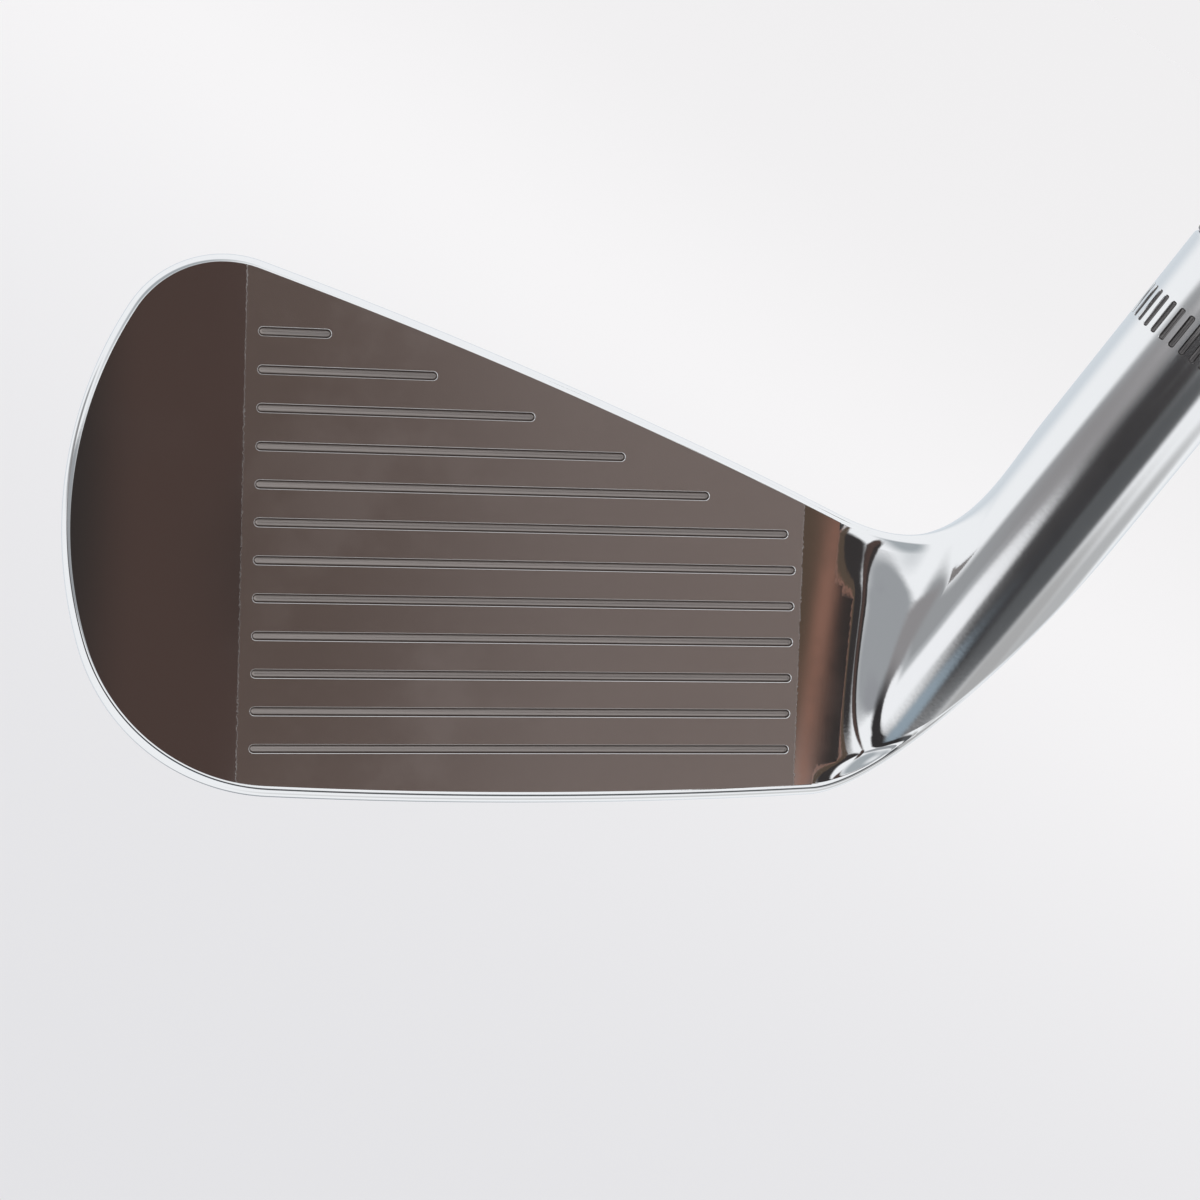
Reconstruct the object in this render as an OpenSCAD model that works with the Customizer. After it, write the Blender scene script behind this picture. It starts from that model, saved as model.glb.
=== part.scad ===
// Five-iron golf club, right-handed. Millimetres.
// The shaft axis is Z with the grip at the top. The toe of the head points to -X and the hitting
// face looks towards -Y. The origin is on the shaft axis, in the middle of the highest step, where
// a rack's clip holds the club.

/* [Club] */
// Length along the shaft axis, from the grip cap to the ground
club_length = 965; // [880:1:1010]
// Angle between the shaft and the ground when the sole lies flat
lie = 62; // [58:0.5:66]
// Angle by which the hitting face leans back
loft = 25; // [20:0.5:34]

/* [Face outline] */
// Curve radius of the top line
top_line_r = 550; // [300:10:800]
// Length of the top line
top_line_l = 62.5; // [60:0.5:66]
// Curve radius of the high corner of the toe
toe_high_r = 9.8; // [8:0.1:12]
// Curve radius of the side of the toe
toe_side_r = 38.5; // [35:0.5:42]
// Curve radius of the low corner of the toe
toe_low_r = 18.9; // [16:0.1:21]
// Curve radius of the leading edge
lead_r = 540; // [400:10:900]
// Length of the straightest stretch of the leading edge
lead_l = 54.5; // [51:0.5:57]

/* [Blade] */
// Radius of the edge round the hitting face
edge_r = 0.8; // [0.5:0.05:1.2]
// Radius of the leading edge
lead_edge_r = 1.2; // [0.8:0.05:1.6]
// Radius of the edge round the back
back_edge_r = 1.4; // [0.8:0.1:2]
// Thickness at the top line
top_line_w = 5.7; // [5.2:0.1:6.5]
// Thickness at the middle of the toe
toe_w = 9.2; // [8:0.1:10]
// Thickness at the sole
sole_w = 18.4; // [16:0.2:20]
// Angle at which the sole leaves the leading edge, measured from the face normal
sole_draft = 21; // [17:0.5:24]
// How far the sole bulges
sole_camber = 0.9; // [0.4:0.05:1.4]

/* [Score lines] */
// Number of score lines
line_count = 12; // [8:1:13]
// Distance from one score line to the next
line_pitch = 3.6; // [3.4:0.05:3.7]
// Width of a score line
line_w = 0.8; // [0.5:0.05:0.9]
// Depth of a score line
line_depth = 0.4; // [0.2:0.05:0.5]
// Length of the longest score lines
line_l = 53.8; // [48:0.2:55]

/* [Cavity] */
// Thickness of the face behind the cavity
face_t = 3; // [2.6:0.1:3.2]
// Width of the rail between the cavity and the outline
rail_w = 4.6; // [4:0.1:6]
// Height of the lower edge of the cavity on the face
cavity_low = 15; // [13:0.5:18]
// Corner radius of the cavity
cavity_r = 3; // [2:0.25:4]
// Slope of the cavity wall
cavity_draft = 12; // [8:1:16]
// Thickness of the damping pad
pad_t = 0.8; // [0.5:0.1:1]
// Thickness of the cavity plate
plate_t = 0.9; // [0.6:0.1:1.1]
// Gap between the cavity wall and what lies in the cavity
fit_gap = 0.25; // [0.15:0.05:0.4]

/* [Toe weight] */
// Diameter of the toe weight
weight_d = 8.4; // [7:0.2:9]
// Distance from the face to the inner end of the toe weight
weight_floor = 5.4; // [5:0.2:6.5]
// Distance from the side of the toe to the middle of the toe weight
weight_toe_gap = 17; // [15:0.5:24]
// Height of the middle of the toe weight on the face
weight_t = 8; // [7.5:0.25:8.5]

/* [Hosel] */
// Outer diameter of the hosel
hosel_d = 13.3; // [12.8:0.1:13.8]
// Distance from the toe-side ends of the score lines to the shaft axis
hosel_s = 64.5; // [63:0.25:66]
// How far the shaft axis passes behind the face, at the height of the lowest score line
hosel_back = 6.5; // [5:0.25:7.5]
// Height of the top of the hosel along the shaft axis, from the lowest score line
hosel_top = 61.5; // [58:0.5:70]
// Depth of the shaft socket
socket_depth = 28; // [24:0.5:28.5]
// Number of slots in the ring round the hosel
slot_count = 34; // [24:1:36]
// Length of one slot
slot_l = 3.5; // [2.5:0.1:4]
// Width of one slot
slot_w = 0.6; // [0.4:0.05:0.7]
// Depth of one slot
slot_depth = 0.3; // [0.2:0.05:0.4]
// Distance from the slots to the top of the hosel
slot_drop = 6.4; // [4:0.1:7]

/* [Ferrule] */
// Length of the ferrule
ferrule_l = 25; // [20:0.5:30]
// Diameter of the ferrule at its top
ferrule_top_d = 11; // [10.8:0.1:12]

/* [Shaft] */
// Diameter of the shaft at its tip
tip_d = 9.4; // [9.2:0.05:9.6]
// Diameter of the shaft at its butt
butt_d = 15.24; // [14.8:0.02:15.6]
// Wall of the shaft
shaft_wall = 0.45; // [0.35:0.05:0.7]
// Bare stretch of full-width shaft under the grip
bare_butt = 45; // [30:1:70]
// Number of steps
step_count = 13; // [8:1:14]
// Distance from one step to the next
step_pitch = 34; // [30:0.5:36]
// Length of the sloping part of a step
step_slope = 4; // [2:0.5:6]
// Thickness of the cured epoxy between the shaft and the hosel
glue_t = 0.15; // [0.1:0.05:0.25]
// Length of the brass tip weight
tip_weight_l = 14; // [8:1:20]

/* [Grip] */
// Length of the grip with its cap
grip_l = 267; // [250:1:280]
// Diameter of the grip just under the cap
grip_butt_d = 26.6; // [25.5:0.2:28]
// Diameter of the grip at its mouth
grip_mouth_d = 17.6; // [17.2:0.1:18.6]
// Length of the flare under the cap
grip_flare_l = 60; // [45:1:75]
// Diameter of the grip where the flare ends
grip_waist_d = 22.6; // [21.8:0.1:23.4]
// Diameter of the cap
cap_d = 31; // [29:0.2:33]
// Height of the cap
cap_l = 7; // [6:0.25:9]
// Thickness of the cap over the end of the shaft
cap_floor = 4; // [3:0.25:5]
// Diameter of the vent hole in the cap
vent_d = 3.6; // [2.5:0.1:5]
// Thickness of the double-sided tape under the grip
tape_t = 0.3; // [0.2:0.05:0.4]
// Distance from the mouth of the grip to the end of the tape inside it
tape_short = 5; // [3:0.5:12]

/* [Hidden] */

$fn = 64;
over = 1;                       // how far a cutter runs past what it cuts
degrees = 180 / PI;

// Heights on the shaft axis, in the part's frame
clip_half = (step_pitch - step_slope) / 2;
mouth_z = clip_half + step_slope + bare_butt;
cap_z = mouth_z + grip_l;
cap_foot_z = cap_z - cap_l;
butt_z = cap_z - cap_floor;
sole_drop = 4.3;                // from the lowest score line down to the ground
head_z = cap_z - club_length + sole_drop;
hosel_z = head_z + hosel_top;
tip_z = hosel_z - socket_depth;

tip_r = tip_d / 2;
butt_r = butt_d / 2;
socket_r = tip_r + glue_t;
tape_r = butt_r + tape_t;
axis_lean = [cos(lie), sin(lie) * cos(loft), sin(lie) * sin(loft)];

// ---------- Outline of the flat face ----------
// It runs from the heel end of the top line, round the toe, to the heel end of the leading edge.
// Each row is [radius, turn in degrees]. The heading is the direction of travel.
outline_start = [58.3, 23.3];
outline_heading = 155.6;
toe_heading = 270;
top_turn = top_line_l / top_line_r * degrees;
toe_high_turn = 76.4;
toe_side_turn = 48.8;
toe_up_turn = toe_heading - outline_heading - top_turn - toe_high_turn;
lead_heading = 357.2;
outline = [[top_line_r, top_turn],
           [toe_high_r, toe_high_turn],
           [toe_side_r, toe_up_turn],
           [toe_side_r, toe_side_turn - toe_up_turn],
           [toe_low_r, lead_heading - toe_heading - toe_side_turn + toe_up_turn],
           [lead_r, lead_l / lead_r * degrees]];

function left_of(heading) = [-sin(heading), cos(heading)];
function heading_at(k) = k == 0 ? outline_heading : heading_at(k - 1) + outline[k - 1][1];
headings = [for (k = [0:len(outline)]) heading_at(k)];
function start_at(k) =
    k == 0 ? outline_start
    : start_at(k - 1) + outline[k - 1][0] * (left_of(headings[k - 1]) - left_of(headings[k]));
centres = [for (k = [0:len(outline) - 1]) start_at(k) + outline[k][0] * left_of(headings[k])];

// Point on arc k at the fraction f of its turn, moved inwards by inset
function outline_pt(k, f, inset) =
    centres[k] - (outline[k][0] - inset) * left_of(headings[k] + f * outline[k][1]);

toe_s = outline_pt(3, 0, 0)[0];

// ---------- Blade ----------
// The blade is a row of rings that starts at the toe and ends at the neck. Ring i joins a point of
// the top half of the outline to a point of the bottom half.
side_rings = 5;
corner_rings = 9;
line_rings = 8;
blade_rings = side_rings + corner_rings + line_rings;

// Arc and fraction for ring i, from the toe, on the top half and on the bottom half
function ring_place(i) =
    i <= side_rings ? [0, i / side_rings]
    : i <= side_rings + corner_rings ? [1, (i - side_rings) / corner_rings]
    : [2, (i - side_rings - corner_rings) / line_rings];
function top_pt(i, inset) = let (p = ring_place(i)) outline_pt(2 - p[0], 1 - p[1], inset);
function low_pt(i, inset) = let (p = ring_place(i)) outline_pt(3 + p[0], p[1], inset);

function smooth(x) = let (c = min(max(x, 0), 1)) c * c * (3 - 2 * c);
function round_toe(i) = smooth(i / (side_rings + corner_rings));
function mix(a, b, x) = a + (b - a) * x;

function top_depth(i) = mix(toe_w, top_line_w, round_toe(i));
function low_depth(i) = mix(toe_w, sole_w, round_toe(i));
top_draft = 4;
toe_draft = 12;
function top_slope(i) = tan(mix(toe_draft, top_draft, round_toe(i)));
function low_slope(i) = tan(mix(toe_draft, sole_draft, round_toe(i)));

// A rim goes from the flat face over the front edge, along the wall and over the back edge.
// Each entry is [outward offset, depth] for a wall of the given depth, slope and camber.
edge_steps = 3;
wall_steps = 4;
function rim(r, depth, slope, camber) =
    let (wall = depth - back_edge_r - r, out = r - wall * slope)
    concat(
        [for (a = [1:edge_steps]) let (t = a * 90 / edge_steps) [r * sin(t), r * (1 - cos(t))]],
        [for (w = [1:wall_steps]) let (x = w / wall_steps)
            [r - x * wall * slope + camber * 4 * x * (1 - x), r + x * wall]],
        [for (a = [1:edge_steps]) let (t = a * 90 / edge_steps)
            [out - back_edge_r * (1 - cos(t) + sin(t) * slope), depth - back_edge_r * (1 - sin(t))]]);
rim_n = 2 * edge_steps + wall_steps;

face_n = 10;
face_power = 1.6;               // the face's points lie closer together near the leading edge
back_n = 9;
back_power = 2.8;               // how closely the thick part of the back keeps to the sole
ring_n = face_n + 2 * rim_n + back_n;

function at_depth(p, depth) = [p[0], p[1], -depth];
function top_rim(i) = [for (r = rim(edge_r, top_depth(i), top_slope(i), 0))
    at_depth(top_pt(i, -r[0]), r[1])];
function low_rim(i) =
    let (bend = round_toe(i), r = mix(edge_r, lead_edge_r, bend))
    [for (r = rim(r, low_depth(i), low_slope(i), sole_camber * bend)) at_depth(low_pt(i, -r[0]), r[1])];

function reverse(v) = [for (k = [len(v) - 1:-1:0]) v[k]];

// One ring of the blade, from the leading edge up the face, over the top and down the back
function blade_ring(i) =
    let (low = low_rim(i), top = top_rim(i), a = top[rim_n - 1], b = low[rim_n - 1],
         f0 = at_depth(low_pt(i, 0), 0), f1 = at_depth(top_pt(i, 0), 0))
    concat(
        [for (k = [0:face_n]) mix(f0, f1, pow(k / face_n, face_power))],
        top,
        [for (k = [1:back_n - 1]) let (x = k / back_n)
            [mix(a[0], b[0], x), mix(a[1], b[1], x), a[2] + (b[2] - a[2]) * pow(x, back_power)]],
        reverse(low));

// ---------- Neck ----------
// Smooth curves leave the last ring of the blade in its own direction and run into the hosel.
neck_rings = 14;
neck_mid = 39;                  // mean height at which the curves reach the hosel
neck_tilt = 1;                  // how much higher they reach it on the toe side
front_drop = 34;                // how much lower they reach it in front
front_at = 12;                  // angle round the hosel at which they reach it lowest
front_power = 3.4;              // how narrow that low stretch is
crotch_pull = [1.95, 0.95];     // how far the curves hold their first and last direction, toe side
heel_pull = [0.66, 0.62];       // the same on the heel side
pull_power = 1.5;               // how soon the heel side's pull takes over
hosel_skin = 0.02;              // the curves end this far inside the true cylinder
front_dir = let (v = [0, 0, 1] - axis_lean * axis_lean[2]) v / norm(v);
toe_dir = cross(front_dir, axis_lean);
axis_foot = [hosel_s, 0, -hosel_back];

// Angles round the hosel, from its front towards the toe side, between which the face, the top rim,
// the back and the low rim reach it
hosel_share = [-48, 75, 122, 238, 312];
ring_share = [0, face_n, face_n + rim_n, face_n + rim_n + back_n, ring_n];
function round_angle(j) = lookup(j, [for (k = [0:len(ring_share) - 1]) [ring_share[k], hosel_share[k]]]);

function hosel_pt(angle, height) =
    axis_foot + axis_lean * height
    + (hosel_d / 2 - hosel_skin) * (cos(angle) * front_dir + sin(angle) * toe_dir);
function end_height(a) =
    neck_mid + neck_tilt * sin(a) - front_drop * pow((1 + cos(a - front_at)) / 2, front_power);

function hermite(p0, t0, p1, t1, x) =
    (2 * x * x * x - 3 * x * x + 1) * p0 + (x * x * x - 2 * x * x + x) * t0
    + (3 * x * x - 2 * x * x * x) * p1 + (x * x * x - x * x) * t1;

// A shallow valley lies between the face and the front of the hosel. Its section square to the shaft
// is a hollow arc, then a crowned one, which meet at one slope.
valley_foot = 6.2;              // width of that section beside the lowest score line
valley_spread = 0.5;            // how much wider it gets for each millimetre up the shaft
valley_end = [12, 20];          // heights between which it fades out
valley_heel = [1, 5];           // distances from the shaft axis towards the heel where it fades out
valley_heel_turn = 25;          // angle over which it fades out towards the low rim
valley_top_turn = 20;           // the same towards the top rim
crest_soft = 0.6;               // rounding of the foot of the crest
axis_flat = norm([axis_lean[0], axis_lean[1]]);
axis_along = [axis_lean[0], axis_lean[1], 0] / axis_flat;

// Height above the face at the distance x from the shaft axis towards the toe, where the axis itself
// is at axis_n above the face and the section is wide
function valley_height(x, axis_n, wide) =
    let (r = hosel_d / 2, top = axis_n + r / axis_flat,
         crest = (top + sqrt(top * top + crest_soft * crest_soft)) / 2,
         tilt = 2 * atan(crest / wide), crown = r * axis_flat, hollow = wide / sin(tilt) - crown)
    x < 0 ? crest - (r - sqrt(max(r * r - x * x, 0))) / axis_flat
    : x < crown * sin(tilt) ? crest - crown + sqrt(crown * crown - x * x)
    : x < wide ? hollow - sqrt(hollow * hollow - (wide - x) * (wide - x))
    : 0;

function in_valley(point, a) =
    let (away = point - axis_foot, x = away * toe_dir, up = away * axis_along,
         goal = valley_height(x, -hosel_back + up * axis_lean[2] / axis_flat,
                              max(valley_foot + valley_spread * up, 1)),
         share = smooth((valley_heel[1] + x) / (valley_heel[1] - valley_heel[0]))
             * smooth((valley_end[1] - up) / (valley_end[1] - valley_end[0]))
             * smooth((a - hosel_share[0]) / valley_heel_turn)
             * smooth((hosel_share[1] - a) / valley_top_turn))
    a > hosel_share[1] ? point : point + [0, 0, share * (goal - point[2])];

function neck_ring(i, last, before) =
    [for (j = [0:ring_n - 1])
        let (a = round_angle(j), p0 = last[j], p1 = hosel_pt(a, end_height(a)),
             dir = last[j] - before[j], reach = norm(p1 - p0),
             pull = mix(heel_pull, crotch_pull, pow((1 + sin(a)) / 2, pull_power)) * reach)
        in_valley(hermite(p0, dir / norm(dir) * pull[0], p1, axis_lean * pull[1], i / neck_rings), a)];

// Above the curves, the skin follows the hosel and ends a little inside the true cylinder
neck_top = neck_mid + neck_tilt; // the true cylinder starts here
neck_in = 4;                    // how far the skin runs on inside the true cylinder
pipe_rings = 6;
function pipe_ring(i) = [for (j = [0:ring_n - 1]) let (a = round_angle(j))
    in_valley(hosel_pt(a, mix(end_height(a), neck_top + neck_in, i / pipe_rings)), a)];

// ---------- Head as one closed skin ----------
ring_count = blade_rings + neck_rings + pipe_rings;
function vertex(i, j) =
    let (k = (j + ring_n) % ring_n, back0 = face_n + rim_n + back_n)
    i > 0 ? rim_n + 1 + (i - 1) * ring_n + k
    : k <= face_n ? 0
    : k <= face_n + rim_n ? k - face_n
    : k < back0 ? rim_n
    : rim_n - (k - back0);

function strip(i, j) =
    let (a = vertex(i, j), b = vertex(i, j + 1), c = vertex(i + 1, j + 1), d = vertex(i + 1, j))
    [for (f = [[a, b, c], [a, c, d]]) if (f[0] != f[1] && f[1] != f[2] && f[2] != f[0]) f];

module head_skin() {
    rings = [for (i = [1:blade_rings]) blade_ring(i)];
    last = rings[blade_rings - 1];
    before = rings[blade_rings - 2];
    toe = concat([at_depth(top_pt(0, 0), 0)], top_rim(0));
    necks = [for (i = [1:neck_rings]) neck_ring(i, last, before)];
    pipes = [for (i = [1:pipe_rings]) pipe_ring(i)];
    points = concat(toe, [for (r = concat(rings, necks, pipes)) each r]);
    face = concat(
        [vertex(0, 0)],
        [for (i = [1:blade_rings]) vertex(i, face_n)],
        [for (j = [face_n - 1:-1:1]) vertex(blade_rings, j)],
        [for (i = [blade_rings:-1:1]) vertex(i, 0)]);
    skin = [for (i = [0:ring_count - 1], j = [0:ring_n - 1])
        if (i >= blade_rings || j >= face_n) each strip(i, j)];
    polyhedron(points, concat([face], skin, [[for (j = [0:ring_n - 1]) vertex(ring_count, j)]]));
}

// Places children drawn in the face's own frame: X along the score lines, Y up the face, Z out of it
module in_head() {
    translate([0, 0, head_z]) rotate([0, lie - 90, 0]) rotate([90 - loft, 0, 0])
        translate([-hosel_s, 0, hosel_back]) children();
}

// ---------- Cuts in the head ----------
line_margin = 3.4;              // from the end of a short score line to the top line

// Where the score line at height t ends, short of the top line
function line_end(t) =
    let (r = top_line_r - line_margin, c = centres[0])
    min(line_l, c[0] + sqrt(r * r - pow(t - c[1], 2)));

module score_line(t) {
    r = line_w / 2;
    end = line_end(t + r);
    translate([0, t, -line_depth]) {
        translate([r, 0, 0]) cube([end - 2 * r, line_w, line_depth + over]);
        for (x = [r, end - r]) translate([x, r, 0]) cylinder(h = line_depth + over, r = r, $fn = 16);
    }
}

module hosel_slots()
    for (k = [0:slot_count - 1])
        rotate([0, 0, k * 360 / slot_count])
            translate([hosel_d / 2 - slot_depth, -slot_w / 2, hosel_z - slot_drop - slot_l])
                cube([slot_depth + over, slot_w, slot_l]);

// Outline of the cavity floor, grown by grow
cavity_heel = 50;               // where the cavity ends towards the heel
cavity_steps = 8;               // corners on each arc of its outline
module cavity_shape(grow)
    offset(r = cavity_r + grow, $fn = 32) offset(delta = -cavity_r) intersection() {
        polygon([for (k = [0:len(outline) - 1], f = [0:cavity_steps])
            outline_pt(k, f / cavity_steps, rail_w)]);
        translate([toe_s, cavity_low]) square([cavity_heel - toe_s, 2 * cavity_heel]);
    }

module cavity() {
    depth = sole_w + over - face_t;
    slice = 0.01;
    hull() {
        translate([0, 0, -face_t - slice]) linear_extrude(slice) cavity_shape(0);
        translate([0, 0, -face_t - depth]) linear_extrude(slice) cavity_shape(depth * tan(cavity_draft));
    }
}

// The plug's hole, from its floor out through the back
module weight_hole()
    translate([toe_s + weight_toe_gap, weight_t, -sole_w - over])
        cylinder(h = sole_w + over - weight_floor, d = weight_d);

// ---------- Sub-parts of the head ----------
module head_body() color("silver") difference() {
    union() {
        in_head() head_skin();
        translate([0, 0, head_z + neck_top]) cylinder(h = hosel_top - neck_top, d = hosel_d);
    }
    translate([0, 0, tip_z]) cylinder(h = socket_depth + over, r = socket_r);
    hosel_slots();
    in_head() {
        for (k = [0:line_count - 1]) score_line(k * line_pitch);
        cavity();
        weight_hole();
    }
}

// The plug is ground flush with the back
module toe_weight() color("dimgray") in_head() intersection() {
    head_skin();
    weight_hole();
}

module damping_pad() color("darkslategray") in_head()
    translate([0, 0, -face_t - pad_t]) linear_extrude(pad_t) cavity_shape(-fit_gap);

panel_inset = 2.2;              // from the edge of the cavity plate to its raised panel
module cavity_plate() color("gainsboro") in_head()
    translate([0, 0, -face_t - pad_t]) {
        translate([0, 0, -plate_t / 2]) linear_extrude(plate_t / 2) cavity_shape(-fit_gap);
        translate([0, 0, -plate_t]) linear_extrude(plate_t) cavity_shape(-fit_gap - panel_inset);
    }

// ---------- Shaft and what joins it to the head ----------
ferrule_shoulder = 1.5;         // straight stretch at the foot of the ferrule
ferrule_edge = 0.6;             // bevel at its top
module ferrule() color("black") translate([0, 0, hosel_z]) rotate_extrude()
    polygon([[tip_r, 0], [hosel_d / 2, 0], [hosel_d / 2, ferrule_shoulder],
             [ferrule_top_d / 2, ferrule_l - ferrule_edge], [ferrule_top_d / 2 - ferrule_edge, ferrule_l],
             [tip_r, ferrule_l]]);

// Outer profile of the shaft from its tip to its butt, moved inwards by inset
step_r = (butt_r - tip_r) / step_count;
function shaft_profile(inset) = concat(
    [[tip_r - inset, tip_z]],
    [for (k = [step_count:-1:1], up = [0, 1])
        [butt_r - (k - up) * step_r - inset, clip_half - (k - 1) * step_pitch + up * step_slope]],
    [[butt_r - inset, butt_z]]);

module shaft() color("lightsteelblue") rotate_extrude()
    polygon(concat(shaft_profile(0), reverse(shaft_profile(shaft_wall))));

module tube(low, high, inner, outer) translate([0, 0, low]) difference() {
    cylinder(h = high - low, r = outer);
    translate([0, 0, -over]) cylinder(h = high - low + 2 * over, r = inner);
}

module epoxy_sleeve() color("khaki") tube(tip_z, hosel_z, tip_r, socket_r);

tip_weight_bevel = 0.8;
module tip_weight() color("goldenrod") translate([0, 0, tip_z]) rotate_extrude()
    let (r = tip_r - shaft_wall)
    polygon([[0, 0], [r, 0], [r, tip_weight_l - tip_weight_bevel],
             [r - tip_weight_bevel, tip_weight_l], [0, tip_weight_l]]);

// ---------- Grip ----------
module grip_tape() color("white") tube(mouth_z + tape_short, butt_z, butt_r, tape_r);

grip_edge = 0.7;                // rounding of the mouth
flare_steps = 12;
waist_z = cap_foot_z - grip_flare_l;
module grip_sleeve() color("dimgray") rotate_extrude()
    polygon(concat(
        [[butt_r, mouth_z], [grip_mouth_d / 2 - grip_edge, mouth_z],
         [grip_mouth_d / 2, mouth_z + grip_edge]],
        [for (k = [0:flare_steps]) let (x = k / flare_steps)
            [mix(grip_waist_d, grip_butt_d, x * x) / 2, mix(waist_z, cap_foot_z, x)]],
        [[tape_r, cap_foot_z], [tape_r, mouth_z + tape_short], [butt_r, mouth_z + tape_short]]));

cap_round = 2.4;                // rounding of the cap's edges
cap_step = 15;                  // degrees from one corner of that rounding to the next
module grip_cap() color("dimgray") rotate_extrude()
    let (r = cap_d / 2 - cap_round, low = cap_foot_z + cap_round, high = cap_z - cap_round)
    polygon(concat(
        [[vent_d / 2, cap_z], [vent_d / 2, butt_z], [tape_r, butt_z], [tape_r, cap_foot_z]],
        [for (a = [-90:cap_step:0]) [r + cap_round * cos(a), low + cap_round * sin(a)]],
        [for (a = [0:cap_step:90]) [r + cap_round * cos(a), high + cap_round * sin(a)]]));

head_body();
toe_weight();
damping_pad();
cavity_plate();
ferrule();
shaft();
epoxy_sleeve();
tip_weight();
grip_tape();
grip_sleeve();
grip_cap();
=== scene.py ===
"""Iron golf club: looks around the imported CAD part. Sizes are in millimetres until a mesh is made."""
import math

import bmesh
import bpy
import numpy as np
from mathutils import Matrix, Vector


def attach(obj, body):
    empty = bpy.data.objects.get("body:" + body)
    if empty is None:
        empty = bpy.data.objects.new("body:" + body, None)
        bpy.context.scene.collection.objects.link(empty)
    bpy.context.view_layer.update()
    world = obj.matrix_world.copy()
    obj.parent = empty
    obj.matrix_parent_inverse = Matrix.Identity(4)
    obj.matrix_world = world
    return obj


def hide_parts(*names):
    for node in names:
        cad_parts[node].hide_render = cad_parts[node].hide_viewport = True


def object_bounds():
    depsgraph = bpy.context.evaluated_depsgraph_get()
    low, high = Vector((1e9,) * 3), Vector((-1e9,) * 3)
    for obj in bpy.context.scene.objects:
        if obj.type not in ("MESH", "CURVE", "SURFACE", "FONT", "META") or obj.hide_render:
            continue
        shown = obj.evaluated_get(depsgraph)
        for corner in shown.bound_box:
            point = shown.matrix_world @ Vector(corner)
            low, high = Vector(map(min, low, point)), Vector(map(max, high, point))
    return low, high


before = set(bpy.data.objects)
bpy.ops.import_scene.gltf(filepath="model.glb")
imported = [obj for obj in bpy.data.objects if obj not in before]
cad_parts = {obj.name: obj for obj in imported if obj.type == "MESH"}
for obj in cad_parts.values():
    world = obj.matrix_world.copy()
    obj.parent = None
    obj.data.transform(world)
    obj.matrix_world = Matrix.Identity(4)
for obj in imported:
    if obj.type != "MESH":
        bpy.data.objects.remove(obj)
cad_bounds = [list(map(float, corner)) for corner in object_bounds()]
MM = 0.001

# ---------- Sizes, as in the CAD source ----------
# The sole's camber is 0.06 less, because its curve is finer here and would pass the CAD model's box
CLUB_LENGTH, LIE, LOFT = 965.0, math.radians(62), math.radians(25)
EDGE_R, LEAD_EDGE_R, BACK_EDGE_R = 0.8, 1.2, 1.4
TOP_LINE_W, TOE_W, SOLE_W = 5.7, 9.2, 18.4
TOP_DRAFT, TOE_DRAFT, SOLE_DRAFT, SOLE_CAMBER = math.radians(4), math.radians(12), math.radians(21), 0.84
LINE_COUNT, LINE_PITCH, LINE_W, LINE_DEPTH, LINE_L, LINE_MARGIN = 12, 3.6, 0.8, 0.4, 53.8, 3.4
FACE_T, RAIL_W, CAVITY_LOW, CAVITY_R, CAVITY_HEEL = 3.0, 4.6, 15.0, 3.0, 50.0
CAVITY_DRAFT = math.radians(12)
PAD_T, PLATE_T, FIT_GAP, PANEL_INSET = 0.8, 0.9, 0.25, 2.2
WEIGHT_D, WEIGHT_FLOOR, WEIGHT_TOE_GAP, WEIGHT_T = 8.4, 5.4, 17.0, 8.0
HOSEL_R, HOSEL_S, HOSEL_BACK, HOSEL_TOP, SOCKET_DEPTH = 6.65, 64.5, 6.5, 61.5, 28.0
SLOT_COUNT, SLOT_L, SLOT_W, SLOT_DEPTH, SLOT_DROP = 34, 3.5, 0.6, 0.3, 6.4
FERRULE_L, FERRULE_TOP_R = 25.0, 5.5
TIP_R, BUTT_R, SHAFT_WALL, GLUE_T = 4.7, 7.62, 0.45, 0.15
BARE_BUTT, STEP_COUNT, STEP_PITCH, STEP_SLOPE = 45.0, 13, 34.0, 4.0
GRIP_L, GRIP_BUTT_R, GRIP_MOUTH_R, GRIP_FLARE_L, GRIP_WAIST_R = 267.0, 13.3, 8.8, 60.0, 11.3
CAP_R, CAP_L, CAP_FLOOR, CAP_ROUND, VENT_R = 15.5, 7.0, 4.0, 2.4, 1.8
TAPE_T, TAPE_SHORT, SOLE_DROP = 0.3, 5.0, 4.3

CLIP_HALF = (STEP_PITCH - STEP_SLOPE) / 2
MOUTH_Z = CLIP_HALF + STEP_SLOPE + BARE_BUTT
CAP_Z = MOUTH_Z + GRIP_L
CAP_FOOT_Z = CAP_Z - CAP_L
BUTT_Z = CAP_Z - CAP_FLOOR
HEAD_Z = CAP_Z - CLUB_LENGTH + SOLE_DROP
HOSEL_Z = HEAD_Z + HOSEL_TOP
TIP_Z = HOSEL_Z - SOCKET_DEPTH

# From the face's own frame (X along the score lines, Y up the face, Z out of it) to the club's frame
IN_HEAD = (Matrix.Translation((0, 0, HEAD_Z)) @ Matrix.Rotation(LIE - math.pi / 2, 4, "Y")
           @ Matrix.Rotation(math.pi / 2 - LOFT, 4, "X") @ Matrix.Translation((-HOSEL_S, 0, HOSEL_BACK)))
TO_CLUB = np.array(IN_HEAD)
FACE_NORMAL = TO_CLUB[:3, :3] @ np.array([0, 0, 1.0])
FACE_POINT = TO_CLUB[:3, 3] * MM
AXIS = np.array([math.cos(LIE), math.sin(LIE) * math.cos(LOFT), math.sin(LIE) * math.sin(LOFT)])


def to_club(points):
    points = np.asarray(points, float)
    return points @ TO_CLUB[:3, :3].T + TO_CLUB[:3, 3]


def mix(a, b, x):
    return a + (b - a) * x


def smooth(x):
    c = np.clip(x, 0, 1)
    return c * c * (3 - 2 * c)


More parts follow.
